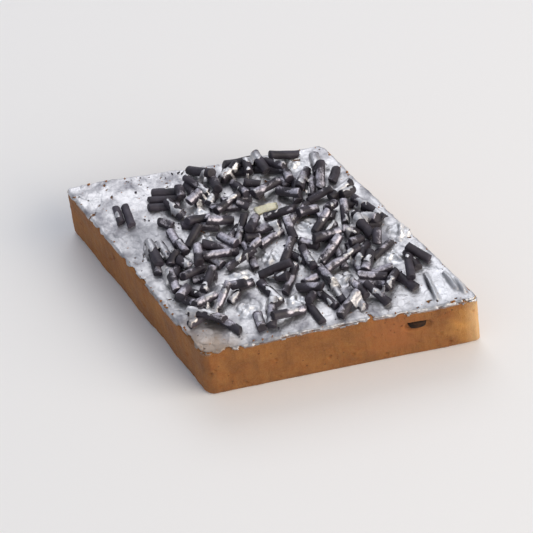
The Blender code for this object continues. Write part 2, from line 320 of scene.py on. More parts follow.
# Crumbs of fudge along each rim, set in by a share of the way to the slab's middle
FUDGE_CRUMB_COUNT = 60
FUDGE_CRUMB_SIZE = (0.07 * MM, 0.2 * MM)
FUDGE_CRUMB_STANDS = 0.2
FUDGE_CRUMB_ALONG = (0.05, 0.95)
FUDGE_CRUMB_INSET = (0.015, 0.035)

# A crumb's lumps, as shares of its size, and its stretch along each axis
CRUMB_LUMPS = (0.8, 1.1)
CRUMB_STRETCH = ((0.7, 1.6), (0.6, 1.1), (0.5, 0.9))

# The camera of the photograph, aimed at this piece from the same spot
AZIMUTH = math.radians(30.0)
ELEVATION = math.radians(47.7)
ROLL = math.radians(-8.1)
DISTANCE = 506.5 * MM
TARGET = Vector((0.0, 0.0, 5.5 * MM))
LENS = 218.0
SENSOR = 36.0
NEAREST_SEEN = 10 * MM

# Half the width of the white floor
FLOOR_REACH = 1500 * MM

HALF_LONG = SIDE * math.cos(ACUTE_CORNER / 2)
HALF_SHORT = SIDE * math.sin(ACUTE_CORNER / 2)
CORNERS = (
    Vector((-HALF_LONG, POINTS_BACK)),
    Vector((0.0, -HALF_SHORT)),
    Vector((HALF_LONG, POINTS_BACK)),
    Vector((0.0, HALF_SHORT)),
)


def colour(code):
    """An sRGB hex value as linear red, green, blue and alpha."""
    channels = [int(code[i:i + 2], 16) / 255 for i in (0, 2, 4)]
    linear = [c / 12.92 if c <= 0.04045 else ((c + 0.055) / 1.055) ** 2.4 for c in channels]
    return (*linear, 1.0)


def feed(tree, node, inputs):
    """Sets or links the inputs of a node, named by key or index."""
    for key, value in inputs.items():
        if isinstance(value, bpy.types.NodeSocket):
            tree.links.new(value, node.inputs[key])
        else:
            node.inputs[key].default_value = value


def add(tree, kind, inputs=None, output=0, **settings):
    """Adds a node with its settings and inputs, and returns one of its outputs."""
    node = tree.nodes.new(kind)
    for name, value in settings.items():
        setattr(node, name, value)
    feed(tree, node, inputs or {})
    return node.outputs[output]


def new_material(name):
    material = bpy.data.materials.new(name)
    material.use_nodes = True
    tree = material.node_tree
    shader = tree.nodes["Principled BSDF"]
    place = add(tree, "ShaderNodeTexCoord", output="Object")
    return material, tree, shader, place


def per_size(size):
    """Scale of a texture whose features are this large."""
    return 1.0 / size


def near_spot(tree, place, spot, radius):
    """Share of the surface near this spot of the barfi, with a cloudy edge."""
    ragged = add(tree, "ShaderNodeTexNoise", {
        "Vector": place, "Scale": per_size(2.4 * MM), "Detail": 3.0,
    })
    away = add(tree, "ShaderNodeVectorMath", {
        0: place, 1: spot,
    }, output="Value", operation="DISTANCE")
    uneven = add(tree, "ShaderNodeMath", {
        0: ragged, 1: radius, 2: away,
    }, operation="MULTIPLY_ADD")
    return add(tree, "ShaderNodeMapRange", {
        "Value": uneven, "From Min": 1.5 * radius, "From Max": 0.7 * radius,
    })


def blend(tree, value, low, high, tints):
    """A colour that turns from one tint to another as a value rises from low to high."""
    share = add(tree, "ShaderNodeMapRange", {
        "Value": value, "From Min": low, "From Max": high,
    })
    return add(tree, "ShaderNodeMix", {
        "Factor": share, 6: colour(tints[0]), 7: colour(tints[1]),
    }, output=2, data_type="RGBA")


def overlay(tree, base, layers):
    """Lays tints over a colour in turn, each by its own share."""
    for share, tint in layers:
        base = add(tree, "ShaderNodeMix", {
            "Factor": share, 6: base, 7: colour(tint),
        }, output=2, data_type="RGBA")
    return base


# Barfi: milk and sugar cooked down, set in a tray and cut with a knife. The cut face is
# close grained and dull, a little see-through, and mottled where the sugar grained unevenly.
# The blade drew faint upright streaks in it. Towards the right corner it is oilier, then lighter
# with a painted glow where light comes through the thin corner, and a painted highlight lies
# on the last of its rounded edge.
def knife_cut_fudge():
    material, tree, shader, place = new_material("knife_cut_milk_fudge")
    cloud = add(tree, "ShaderNodeTexNoise", {
        "Vector": place, "Scale": per_size(4.5 * MM), "Detail": 5.0, "Roughness": 0.62,
    })
    grain = add(tree, "ShaderNodeTexNoise", {
        "Vector": place, "Scale": per_size(0.36 * MM), "Detail": 5.0, "Roughness": 0.76,
    })
    upright = add(tree, "ShaderNodeMapping", {"Vector": place, "Scale": (1.0, 1.0, 0.14)})
    streaks = add(tree, "ShaderNodeTexNoise", {
        "Vector": upright, "Scale": per_size(1.1 * MM), "Detail": 4.0, "Roughness": 0.65,
    })
    warm = add(tree, "ShaderNodeTexNoise", {
        "Vector": place, "Scale": per_size(2.3 * MM), "Detail": 3.0, "Roughness": 0.6,
        "Distortion": 0.6,
    })
    warm_share = add(tree, "ShaderNodeMapRange", {
        "Value": warm, "From Min": 0.48, "From Max": 0.75, "To Max": 0.6,
    })
    streak_share = add(tree, "ShaderNodeMapRange", {
        "Value": streaks, "From Min": 0.45, "From Max": 0.75, "To Max": 0.4,
    })
    grain_share = add(tree, "ShaderNodeMapRange", {
        "Value": grain, "From Min": 0.45, "From Max": 0.85, "To Max": 0.35,
    })
    across = add(tree, "ShaderNodeSeparateXYZ", {0: place}, output="X")
    # Across the x of the right corner's last edge, for its painted highlight
    highlight_share = add(tree, "ShaderNodeMapRange", {
        "Value": across, "From Min": PAINTED_HIGHLIGHT_SPAN[0], "From Max": PAINTED_HIGHLIGHT_SPAN[1], "To Max": 0.5,
    })
    ragged = add(tree, "ShaderNodeVectorMath", {
        0: grain.node.outputs["Color"], 1: (0.5 * MM, 0.5 * MM, 0.5 * MM), 2: place,
    }, operation="MULTIPLY_ADD")
    specks = add(tree, "ShaderNodeTexVoronoi", {
        "Vector": ragged, "Scale": per_size(1.3 * MM), "Randomness": 1.0,
    })
    small = add(tree, "ShaderNodeMath", {
        0: warm, 1: -0.5, 2: specks,
    }, operation="MULTIPLY_ADD")
    speck_share = add(tree, "ShaderNodeMapRange", {
        "Value": small, "From Min": -0.13, "From Max": -0.22, "To Max": 0.8,
    })
    shown = overlay(tree, blend(tree, cloud, 0.34, 0.68, ("7f4d1f", "a46d36")), (
        (warm_share, "8c4a15"),
        (streak_share, "6d4019"),
        (grain_share, "b98a52"),
        (near_spot(tree, place, OILY_PLACE, OILY_RADIUS), "a06232"),
        # Painted glow where light comes through the thin corner, then a painted highlight on its
        # last edge
        (near_spot(tree, place, PAINTED_GLOW_PLACE, PAINTED_GLOW_RADIUS), "c98f4a"),
        (highlight_share, "e6c596"),
        (speck_share, "5f3712"),
    ))
    shine = add(tree, "ShaderNodeMapRange", {
        "Value": cloud, "From Min": 0.3, "From Max": 0.7, "To Min": 0.6, "To Max": 0.78,
    })
    pitted = add(tree, "ShaderNodeMath", {
        0: speck_share, 1: -0.9, 2: grain,
    }, operation="MULTIPLY_ADD")
    skin = add(tree, "ShaderNodeMath", {0: pitted, 1: streaks}, operation="ADD")
    bump = add(tree, "ShaderNodeBump", {
        "Height": skin, "Strength": 0.8, "Distance": 0.2 * MM,
    })
    feed(tree, shader, {
        "Base Color": shown, "Roughness": shine, "Normal": bump, "IOR": 1.45,
        "Subsurface Weight": 0.25, "Subsurface Radius": (1.0, 0.42, 0.2),
        "Subsurface Scale": 1.4 * MM,
    })
    return material


# Varak: silver beaten to a leaf far thinner than paper and laid on the soft fudge. It shines
# like a crumpled mirror, with fine creases, duller pressed spots, and pinholes where the fudge
# shows. It is rubbed thin and dull by the front corner, and pressed dull and greyed with
# painted shade of the pile by the left end of the pile. By the right corner it carries a
# painted bright reflection, with painted shade beside the folds there. It is darker and
# mottled along the two front rims, and carries painted glints where it is tufted up between
# the strands.
def beaten_silver_leaf():
    material, tree, shader, place = new_material("beaten_silver_leaf")
    creases = add(tree, "ShaderNodeTexVoronoi", {
        "Vector": place, "Scale": per_size(1.5 * MM), "Randomness": 1.0,
    }, feature="DISTANCE_TO_EDGE")
    crumple = add(tree, "ShaderNodeTexNoise", {
        "Vector": place, "Scale": per_size(0.6 * MM), "Detail": 6.0, "Roughness": 0.74,
        "Distortion": 0.9,
    })
    patch = add(tree, "ShaderNodeTexNoise", {
        "Vector": place, "Scale": per_size(3.2 * MM), "Detail": 4.0, "Roughness": 0.6,
    })
    pinholes = add(tree, "ShaderNodeTexNoise", {
        "Vector": place, "Scale": per_size(0.5 * MM), "Detail": 2.0, "Roughness": 0.5,
    })
    rubbed = near_spot(tree, place, RUBBED_PLACE, RUBBED_RADIUS)
    thinned = add(tree, "ShaderNodeMath", {
        0: rubbed, 1: 0.05, 2: pinholes,
    }, operation="MULTIPLY_ADD")
    holed = add(tree, "ShaderNodeMapRange", {
        "Value": thinned, "From Min": 0.69, "From Max": 0.75,
    })
    # Pressed dull, and greyed with painted shade of the pile, by the left end of the pile
    pressed_and_shaded = add(tree, "ShaderNodeMath", {
        0: near_spot(tree, place, PRESSED_AND_SHADED_PLACE, PRESSED_AND_SHADED_RADIUS), 1: 0.8,
    }, operation="MULTIPLY")
    glint = add(tree, "ShaderNodeAttribute", output="Fac", attribute_name="glint")
    shade = add(tree, "ShaderNodeAttribute", output="Fac", attribute_name="shade")
    shown = overlay(tree, blend(tree, patch, 0.46, 0.66, ("dfdddd", "9a989d")), (
        (pressed_and_shaded, "9b9a9d"),
        # Painted bright reflection by the right corner
        (near_spot(tree, place, PAINTED_REFLECTION_PLACE, PAINTED_REFLECTION_RADIUS), "e6e5e6"),
        # Painted glints in the open places between the strands
        (glint, "fbfafa"),
        # Painted shade beside the folds, and the darkening along the two front rims
        (shade, "4c4c52"),
        (rubbed, "a09184"),
        (holed, "9a6c45"),
    ))
    metal = add(tree, "ShaderNodeMapRange", {"Value": holed, "To Min": 1.0, "To Max": 0.0})
    polish = add(tree, "ShaderNodeMapRange", {
        "Value": patch, "From Min": 0.35, "From Max": 0.7, "To Min": 0.38, "To Max": 0.55,
    })
    edge = add(tree, "ShaderNodeMapRange", {
        "Value": creases, "From Max": 0.16, "To Max": 0.5,
    })
    height = add(tree, "ShaderNodeMath", {0: crumple, 1: edge}, operation="ADD")
    bump = add(tree, "ShaderNodeBump", {
        "Height": height, "Strength": 0.6, "Distance": 0.11 * MM,
    })
    feed(tree, shader, {
        "Base Color": shown, "Metallic": metal, "Roughness": polish, "Normal": bump,
    })
    return material


# Chocolate vermicelli: strands pressed through a die and broken. Dark and dully glossy, with
# a grey bloom, and shreds of the leaf stuck to their upper sides, most of them within the pile.
def extruded_chocolate():
    material, tree, shader, place = new_material("extruded_dark_chocolate")
    skin = add(tree, "ShaderNodeTexNoise", {
        "Vector": place, "Scale": per_size(0.45 * MM), "Detail": 4.0, "Roughness": 0.65,
    })
    bloom = add(tree, "ShaderNodeTexNoise", {
        "Vector": place, "Scale": per_size(3.0 * MM), "Detail": 3.0, "Roughness": 0.6,
    })
    shreds = add(tree, "ShaderNodeTexNoise", {
        "Vector": place, "Scale": per_size(1.5 * MM), "Detail": 6.0, "Roughness": 0.74,
        "Distortion": 0.5,
    })
    zone = add(tree, "ShaderNodeTexNoise", {
        "Vector": place, "Scale": per_size(3.2 * MM), "Detail": 1.0, "Roughness": 0.4,
    })
    zone_share = add(tree, "ShaderNodeMapRange", {
        "Value": zone, "From Min": 0.38, "From Max": 0.62, "To Min": -0.2, "To Max": 0.15,
    })
    facing = add(tree, "ShaderNodeNewGeometry", output="Normal")
    upward = add(tree, "ShaderNodeSeparateXYZ", {0: facing}, output="Z")
    topside = add(tree, "ShaderNodeMapRange", {
        "Value": upward, "From Min": -0.2, "From Max": 0.7, "To Min": -0.45, "To Max": 0.04,
    })
    away = add(tree, "ShaderNodeVectorMath", {
        0: place, 1: PILE_MIDDLE,
    }, output="Value", operation="DISTANCE")
    in_pile = add(tree, "ShaderNodeMapRange", {
        "Value": away, "From Min": PILE_REACH[0], "From Max": PILE_REACH[1],
        "To Min": 0.6, "To Max": 0.3,
    })
    stuck = shreds
    for share in (zone_share, topside, in_pile):
        stuck = add(tree, "ShaderNodeMath", {0: stuck, 1: share}, operation="ADD")
    silvered = add(tree, "ShaderNodeMapRange", {
        "Value": stuck, "From Min": 1.14, "From Max": 1.26, "To Max": 0.95,
    })
    shown = add(tree, "ShaderNodeMix", {
        "Factor": silvered,
        6: blend(tree, bloom, 0.4, 0.75, ("282229", "4a444f")),
        7: blend(tree, skin, 0.35, 0.65, ("a8a3ac", "e2dde5")),
    }, output=2, data_type="RGBA")
    gloss = add(tree, "ShaderNodeMapRange", {
        "Value": skin, "From Min": 0.3, "From Max": 0.7, "To Min": 0.44, "To Max": 0.62,
    })
    embossed = add(tree, "ShaderNodeMath", {
        0: silvered, 1: 0.6, 2: skin,
    }, operation="MULTIPLY_ADD")
    bump = add(tree, "ShaderNodeBump", {
        "Height": embossed, "Strength": 0.7, "Distance": 0.1 * MM,
    })
    feed(tree, shader, {
        "Base Color": shown, "Metallic": silvered, "Roughness": gloss, "Normal": bump,
        "IOR": 1.5,
    })
    return material


# The strand that the knife dragged into the cut: cut chocolate, dull and without leaf, its dark
# colour darkened further to nearly black as painted shade of the hollow it lies in.
def shaded_smeared_chocolate():
    material, tree, shader, place = new_material("smeared_chocolate_with_painted_shade")
    smear = add(tree, "ShaderNodeTexNoise", {
        "Vector": place, "Scale": per_size(0.6 * MM), "Detail": 4.0, "Roughness": 0.6,
    })
    bump = add(tree, "ShaderNodeBump", {
        "Height": smear, "Strength": 0.7, "Distance": 0.12 * MM,
    })
    feed(tree, shader, {
        # Near black: painted shade of the hollow over the chocolate's own dark colour
        "Base Color": blend(tree, smear, 0.4, 0.7, ("1f130a", "3f2510")),
        "Roughness": 0.75, "Specular IOR Level": 0.25, "Normal": bump,
    })
    return material


# Cashew: split and chopped. Dry, pale and fibrous, a little darker where the skin was.
def chopped_nut():
    material, tree, shader, place = new_material("chopped_cashew")
    fibre = add(tree, "ShaderNodeTexNoise", {
        "Vector": place, "Scale": per_size(0.7 * MM), "Detail": 4.0, "Roughness": 0.65,
    })
    bump = add(tree, "ShaderNodeBump", {
        "Height": fibre, "Strength": 0.6, "Distance": 0.08 * MM,
    })
    feed(tree, shader, {
        "Base Color": blend(tree, fibre, 0.35, 0.65, ("dcd5b2", "f0ecd2")),
        "Roughness": 0.6, "Normal": bump, "Subsurface Weight": 0.2,
        "Subsurface Radius": (1.0, 0.8, 0.5), "Subsurface Scale": 0.8 * MM,
    })
    return material


# The floor: matt white card.
def white_card():
    material, tree, shader, place = new_material("matt_white_card")
    tooth = add(tree, "ShaderNodeTexNoise", {
        "Vector": place, "Scale": per_size(1.5 * MM), "Detail": 3.0,
    })
    bump = add(tree, "ShaderNodeBump", {
        "Height": tooth, "Strength": 0.05, "Distance": 0.05 * MM,
    })
    feed(tree, shader, {"Base Color": colour("f0efed"), "Roughness": 0.75, "Normal": bump})
    return material


def waves(point, wavelength, height, shift=(0, 0, 0)):
    """Smooth noise of this wavelength and height."""
    return noise.noise(point / wavelength + Vector(shift)) * height


def ridges(point, wavelength, sharpness, height, shift=(0, 0, 0)):
    """Creases of this wavelength and height."""
    return (1 - abs(waves(point, wavelength, 1, shift))) ** sharpness * height


def own_shift(rng):
    """A place in the noise for one shape alone, up to fifty waves away."""
    return Vector([rng.uniform(0, 50) for _ in range(3)])


def top_height(x, y):
    """Height of the spread surface, for numbers or arrays."""
    height = THICKNESS
    for rise, wavelength, heading in TOP_WAVES:
        along = x * math.cos(heading) + y * math.sin(heading)
        height = height + rise * np.sin(2 * math.pi * along / wavelength)
    return height


def side_bow(x, y):
    """How far a cut side swells outwards, fading out at the corners."""
    fade = (1 - (x / HALF_LONG) ** 2) * (1 - (y / HALF_SHORT) ** 2)
    return SIDE_BOW * fade * math.sin(2 * math.pi * (x - 2 * y) / SIDE_WAVE)


def edge_distances(x, y):
    """Distance inwards from each side of the outline, from the front left one round."""
    distances = []
    for index, corner in enumerate(CORNERS):
        edge = (CORNERS[(index + 1) % 4] - corner).normalized()
        distances.append(edge.x * (y - corner.y) - edge.y * (x - corner.x))
    return distances


class Bed:
    """The height of what lies on the slab so far, on a square grid."""

    def __init__(self):
        self.start = Vector((-HALF_LONG, -HALF_SHORT))
        columns = np.arange(-HALF_LONG, HALF_LONG + CELL, CELL)
        rows = np.arange(-HALF_SHORT, HALF_SHORT + CELL, CELL)
        self.x, self.y = np.meshgrid(columns, rows, indexing="ij")
        self.height = top_height(self.x, self.y)

    def under(self, x, y):
        column = np.clip(np.rint((x - self.start.x) / CELL), 0, self.height.shape[0] - 1)
        row = np.clip(np.rint((y - self.start.y) / CELL), 0, self.height.shape[1] - 1)
        return self.height[column.astype(int), row.astype(int)]

    def rest(self, x, y, heading, length, radius):
        """Height and slope of the line that a rod's lower edge comes to rest on."""
        along = np.linspace(-length / 2, length / 2, POINTS_ALONG)
        heights = np.full(along.shape, -1.0)
        for share in LINES_ASIDE:
            aside = share * radius
            lift = radius - math.sqrt(radius**2 - aside**2)
            below = self.under(
                x + along * math.cos(heading) - aside * math.sin(heading),
                y + along * math.sin(heading) + aside * math.cos(heading),
            )
            heights = np.maximum(heights, below - lift)
        best, slope = -1.0, 0.0
        half = len(along) // 2
        for i in range(half):
            for j in range(half, len(along)):
                rise = (heights[j] - heights[i]) / (along[j] - along[i])
                middle = heights[i] - rise * along[i]
                if middle > best:
                    best, slope = middle, rise
        slope = max(-STEEPEST, min(STEEPEST, slope))
        return float(np.max(heights - slope * along)), slope

    def add(self, x, y, heading, length, radius, axis_height, slope):
        """Raises the grid where the rod covers it."""
        along = (self.x - x) * math.cos(heading) + (self.y - y) * math.sin(heading)
        aside = (self.y - y) * math.cos(heading) - (self.x - x) * math.sin(heading)
        covered = (abs(along) < length / 2) & (abs(aside) < radius)
        crown = np.sqrt(np.maximum(radius**2 - aside**2, 0)) + axis_height + slope * along
        self.height = np.where(covered, np.maximum(self.height, crown), self.height)


def lay(bed, x, y, heading, length, radius):
    """Lets a rod down onto the bed and returns its middle, direction, length and radius."""
    level, slope = bed.rest(x, y, heading, length, radius)
    axis_height = level + radius - PRESSED_IN
    bed.add(x, y, heading, length, radius, axis_height, slope)
    direction = Vector((math.cos(heading), math.sin(heading), slope)).normalized()
    return Vector((x, y, axis_height)), direction, length, radius


def covers(x, y, heading, length, place):
    """True where a rod reaches into this open place."""
    offset = Vector(place[:2]) * MM - Vector((x, y))
    direction = Vector((math.cos(heading), math.sin(heading)))
    along = max(-length / 2, min(length / 2, offset.dot(direction)))
    return (offset - direction * along).length < place[2] * MM


def fits(x, y, heading, length, draw):
    """True where a scattered sprinkle would be wanted, by the bare and thin places."""
    if x < BARE_LEFT_OF or x > BARE_RIGHT_OF or y < BARE_IN_FRONT_OF:
        return False
    if math.dist((x, y), NUT_GAP) < NUT_GAP_RADIUS:
        return False
    if min(d - m for d, m in zip(edge_distances(x, y), BARE_MARGINS)) < 0:
        return False
    if any(covers(x, y, heading, length, place) for place in OPEN_PLACES):
        return False
    for end in (-length / 2, length / 2):
        tip = (x + end * math.cos(heading), y + end * math.sin(heading))
        if min(edge_distances(*tip)) < RIM_CLEARANCE:
            return False
    thin = x < THIN_LEFT_OF or y < THIN_IN_FRONT_OF
    thin = thin or edge_distances(x, y)[1] < THIN_ALONG_FRONT_RIGHT
    return not thin or draw < THIN_SHARE


def draw_sprinkle(rng):
    """A place, heading, length and radius that fit, drawn at random."""
    while True:
        x = rng.uniform(-HALF_LONG, HALF_LONG)
        y = rng.uniform(-HALF_SHORT, HALF_SHORT)
        heading = rng.uniform(0, math.pi)
        size = CRUMB_LENGTH if rng.random() < CRUMB_SHARE else SPRINKLE_LENGTH
        length = rng.triangular(*size)
        radius = rng.uniform(*SPRINKLE_RADIUS)
        if fits(x, y, heading, length, rng.random()):
            return x, y, heading, length, radius


def place_sprinkles(places, bed, rng):
    laid = []
    for x, y, heading, length in places:
        radius = rng.uniform(*SPRINKLE_RADIUS)
        laid.append(lay(bed, x * MM, y * MM, math.radians(heading), length * MM, radius))
    return laid


def scatter_sprinkles(bed, rng, count):
    """Each sprinkle takes the lowest of a few places drawn for it, as if it had rolled there."""
    laid = []
    while len(laid) < count:
        tries = [draw_sprinkle(rng) for _ in range(TRIES_EACH)]
        levels = [bed.rest(*sprinkle)[0] for sprinkle in tries]
        lowest = levels.index(min(levels))
        if levels[lowest] < THICKNESS + HIGHEST_BED:
            laid.append(lay(bed, *tries[lowest]))
    return laid


def caught_sprinkle():
    """Middle, direction, length and radius of the sprinkle sunk in the front right cut."""
    front, right = CORNERS[1], CORNERS[2]
    along = (right - front).normalized().to_3d()
    outward = Vector((along.y, -along.x, 0))
    middle = front.lerp(right, CAUGHT_ALONG).to_3d() + Vector((0, 0, CAUGHT_HEIGHT))
    middle += outward * (side_bow(middle.x, middle.y) + CAUGHT_PROUD - CAUGHT_RADIUS)
    sunk = Vector((0, 0, -1)) - outward
    direction = (along + sunk * math.tan(CAUGHT_TILT)).normalized()
    return middle, direction, CAUGHT_LENGTH, CAUGHT_RADIUS


def bevel_edges(bm, edges, width, segments):
    bmesh.ops.bevel(
        bm, geom=edges, offset=width, offset_type="OFFSET", segments=segments,
        profile=0.5, affect="EDGES", material=-1,
    )


def is_rim(edge):
    """True where a level face meets a wall."""
    slopes = sorted(abs(face.normal.z) for face in edge.link_faces)
    return slopes[0] < 0.5 < slopes[1]


def slab_blank():
    """The diamond with its corners and rims rounded, before it is cut finely."""
    bm = bmesh.new()
    bmesh.ops.create_cube(bm, size=1.0)
    for vertex in bm.verts:
        quarter = math.atan2(vertex.co.y, vertex.co.x) / (math.pi / 2)
        corner = CORNERS[(math.floor(quarter) + 3) % 4]
        height = THICKNESS if vertex.co.z > 0 else 0.0
        vertex.co = corner.to_3d() + Vector((0, 0, height))
    upright = [e for e in bm.edges if abs(e.verts[0].co.z - e.verts[1].co.z) > THICKNESS / 2]
    bevel_edges(bm, upright, CORNER_ROUNDING, CORNER_SEGMENTS)
    rims = [e for e in bm.edges if abs(e.verts[0].co.z - e.verts[1].co.z) < THICKNESS / 2]
    bevel_edges(bm, [e for e in rims if is_rim(e)], RIM_ROUNDING, RIM_SEGMENTS)
    return bm


def cut_across(bm, point, normal):
    """Cuts every face but the underside, which stays one flat face."""
    faces = [f for f in bm.faces if f.normal.z > UNDERSIDE_NORMAL]
    edges = {e for f in faces for e in f.edges}
    verts = {v for f in faces for v in f.verts}
    bmesh.ops.bisect_plane(
        bm, geom=faces + list(edges) + list(verts), plane_co=point, plane_no=normal, dist=1e-7,
    )


def cut_finely(bm):
    """Cuts the skin along lines that fan from one side to the side across from it."""
    left, front, right, back = CORNERS
    for step in range(1, PLAN_CUTS + 1):
        share = step / (PLAN_CUTS + 1)
        ends = (
            (left.lerp(back, share), front.lerp(right, share)),
            (left.lerp(front, share), back.lerp(right, share)),
        )
        for start, end in ends:
            along = (end - start).normalized()
            cut_across(bm, start.to_3d(), Vector((-along.y, along.x, 0)))
    for step in range(1, HEIGHT_CUTS + 1):
        level = THICKNESS * step / (HEIGHT_CUTS + 1)
        cut_across(bm, Vector((0, 0, level)), Vector((0, 0, 1)))
    bm.normal_update()


def pit_depth(point):
    """A few small air pits in the cut faces."""
    near, places = noise.voronoi(point / PIT_SPACING)
    if noise.noise(places[0] * PIT_SHUFFLE) < PIT_RARITY:
        return 0.0
    return math.sqrt(max(0.0, 1 - near[0] * PIT_SPACING / PIT_RADIUS)) * PIT_DEPTH


def dent(point):
    """The hollow that the knife dragged round the caught sprinkle."""
    middle, direction, length, radius = caught_sprinkle()
    along = max(-length / 2, min(length / 2, (point - middle).dot(direction)))
    away = (point - middle - direction * along).length / radius
    return max(0.0, 1 - abs(away - DENT_MIDDLE) / DENT_WIDTH) * DENT_DEPTH


def relief(point, normal):
    """How far the fudge stands out of the plain slab, before it is worn."""
    wall = 1 - abs(normal.z)
    grain = waves(point, *GRAIN)
    drag = waves(Vector((point.x, point.y, point.z * DRAG_STRETCH)), *DRAG)
    return waves(point, *LUMPS) + wall * (grain + drag - max(pit_depth(point), dent(point)))


def wear(point, normal):
    """How far the rims have crumbled."""
    rim = 1 - abs(2 * abs(normal.z) - 1)
    return rim * (LEAST_WEAR + max(0.0, sum(waves(point, *chip) for chip in CHIPS)))


def make_slab():
    bm = slab_blank()
    cut_finely(bm)
    walls = {e for f in bm.faces if abs(f.normal.z) < TOP_NORMAL for e in f.edges}
    bmesh.ops.subdivide_edges(bm, edges=list(walls), cuts=1, use_grid_fill=True)
    bm.normal_update()
    normals = {v: v.normal.copy() for v in bm.verts}
    for vertex in bm.verts:
        x, y, z = vertex.co
        normal = normals[vertex]
        if normal.z < UNDERSIDE_NORMAL:
            continue
        level = vertex.co.copy()
        vertex.co += normal.to_2d().to_3d() * side_bow(x, y)
        vertex.co.z += (top_height(x, y) - THICKNESS) * z / THICKNESS
        vertex.co += normal * (relief(level, normal) - wear(level, normal))
        vertex.co.z = max(vertex.co.z, 0.0)
    bm.normal_update()
    return bm


def leaf_edge(point):
    """Distance from the slab's outline at which the torn leaf ends; below zero it folds over."""
    return sum(waves(point, *rag) for rag in LEAF_RAGS) - LEAF_OVERHANG


def is_torn(point):
    """True in the splits where the leaf parted as it was laid."""
    stretch = sum(abs(waves(point, *wave)) for wave in SPLIT_WAVES)
    return stretch < SPLIT_WIDTH and noise.noise(point / SPLIT_AREAS) > 0.0


def fold_height_and_shade(point):
    """Height of the named folds and the painted shade beside them, which taper towards their
    ends.
    """
    height = shade = 0.0
    for x, y, heading, length, dark in FOLDS:
        offset = Vector((point.x - x * MM, point.y - y * MM))
        turn = math.radians(heading)
        along = offset.x * math.cos(turn) + offset.y * math.sin(turn)
        aside = offset.y * math.cos(turn) - offset.x * math.sin(turn)
        taper = math.sqrt(max(0.0, 1 - abs(along) / (length * MM / 2)))
        height += FOLD_HEIGHT * taper * math.exp(-(2 * aside / FOLD_WIDTH) ** 2)
        beside = 2 * (aside - SHADE_ASIDE) / SHADE_WIDTH
        shade = max(shade, dark * taper * math.exp(-beside**2))
    return height, shade


def rim_darkening(point):
    """Darkness of the leaf along the two front rims, mottled."""
    mottle = 1 + waves(point, *MOTTLE, shift=(5, 1, 8))
    sides = edge_distances(point.x, point.y)
    near = max(1 - side / margin for side, margin in zip(sides, DARKENED_MARGINS))
    left = (point.x - UNDARKENED_LEFT_OF) / (DARKENED_RIGHT_OF - UNDARKENED_LEFT_OF)
    return RIM_DARKENING * mottle * max(0.0, near) * max(0.0, min(1.0, left))


def openness(point):
    """From the rim to the middle of each open place between the strands, 0 to 1."""
    share = 0.0
    for x, y, radius in OPEN_PLACES:
        away = math.dist((point.x, point.y), (x * MM, y * MM)) / (radius * MM)
        share = max(share, 1 - away**2)
    return share


def crumple(point):
    """Height of the leaf's fine creases."""
    return ridges(point, *CREASES) + ridges(point, *FINE_CREASES, shift=(7, 3, 1))


def make_leaf(slab):
    bm = slab.copy()
    bare = [
        f for f in bm.faces
        if f.normal.z < LEAF_LOWEST_NORMAL or len(f.verts) > LEAF_MOST_SIDES
    ]
    bmesh.ops.delete(bm, geom=bare, context="FACES")
    level = [e for e in bm.edges if min(f.normal.z for f in e.link_faces) > TOP_NORMAL]
    bmesh.ops.subdivide_edges(bm, edges=level, cuts=1, use_grid_fill=True)
    torn = []
    for face in bm.faces:
        middle = face.calc_center_median()
        flat = Vector((middle.x, middle.y, 0))
        sides = edge_distances(middle.x, middle.y)
        inside = min(sides[0] - LEAF_PULLED_BACK, *sides[1:])
        low = middle.z < THICKNESS - LEAF_FOLDED_DOWN
        if low or inside < leaf_edge(flat) or is_torn(flat):
            torn.append(face)
    bmesh.ops.delete(bm, geom=torn, context="FACES")
    drop_scraps(bm, LEAF_SCRAP)
    bm.normal_update()
    shades = bm.verts.layers.float.new("shade")
    glints = bm.verts.layers.float.new("glint")
    for vertex in bm.verts:
        height, shade = fold_height_and_shade(vertex.co)
        # The shade attribute holds the painted shade beside the folds and the darkening along
        # the front rims
        vertex[shades] = max(shade, rim_darkening(vertex.co))
        # The glint attribute is a painted glint, strongest in the middle of each open place
        vertex[glints] = openness(vertex.co)
        tuft = LEVEL_TUFT + waves(vertex.co, *TUFTS, shift=(2, 9, 4))
        height += TUFT_HEIGHT * vertex[glints] * max(0.0, tuft)
        vertex.co += vertex.normal * (LEAF_LIFT + crumple(vertex.co) + height)
    bm.normal_update()
    return bm


def resting_heights(columns, rows, below):
    """Heights of a sheet let down on this mesh, which falls off what it lies on at a slope."""
    tree = BVHTree.FromBMesh(below)
    down = Vector((0, 0, -1))
    height = np.zeros((len(columns), len(rows)))
    for i, x in enumerate(columns):
        for j, y in enumerate(rows):
            hit = tree.ray_cast(Vector((x, y, 2 * THICKNESS)), down)[0]
            height[i, j] = max(hit.z if hit else 0.0, top_height(x, y))
    for _ in range(DRAPE_REACH):
        for axis in (0, 1):
            for shift in (-1, 1):
                fallen = np.roll(height, shift, axis) - DRAPE_SLOPE * DRAPE_CELL
                height = np.maximum(height, fallen)
    return height


def wrap_share(point):
    """How likely leaf is to lie over the strands here."""
    share = STRAY_SHARE
    for x, y, radius in WRAPPED_PLACES:
        away = math.dist((point.x, point.y), (x * MM, y * MM)) / (radius * MM)
        share = max(share, WRAPPED_SHARE * (1 - away**2))
    return share


def wraps(point):
    """Over zero where a shred of leaf lies."""
    outline = waves(point, *SHREDS) + waves(point, *SMALL_SHREDS, shift=(3, 8, 5))
    return outline + wrap_share(point) - SHREDS_CLEAR


def is_clear(point):
    """True where the strands lie bare, and along the rims."""
    return wraps(point) < 0 or min(edge_distances(*point.xy)) < SHRED_MARGIN


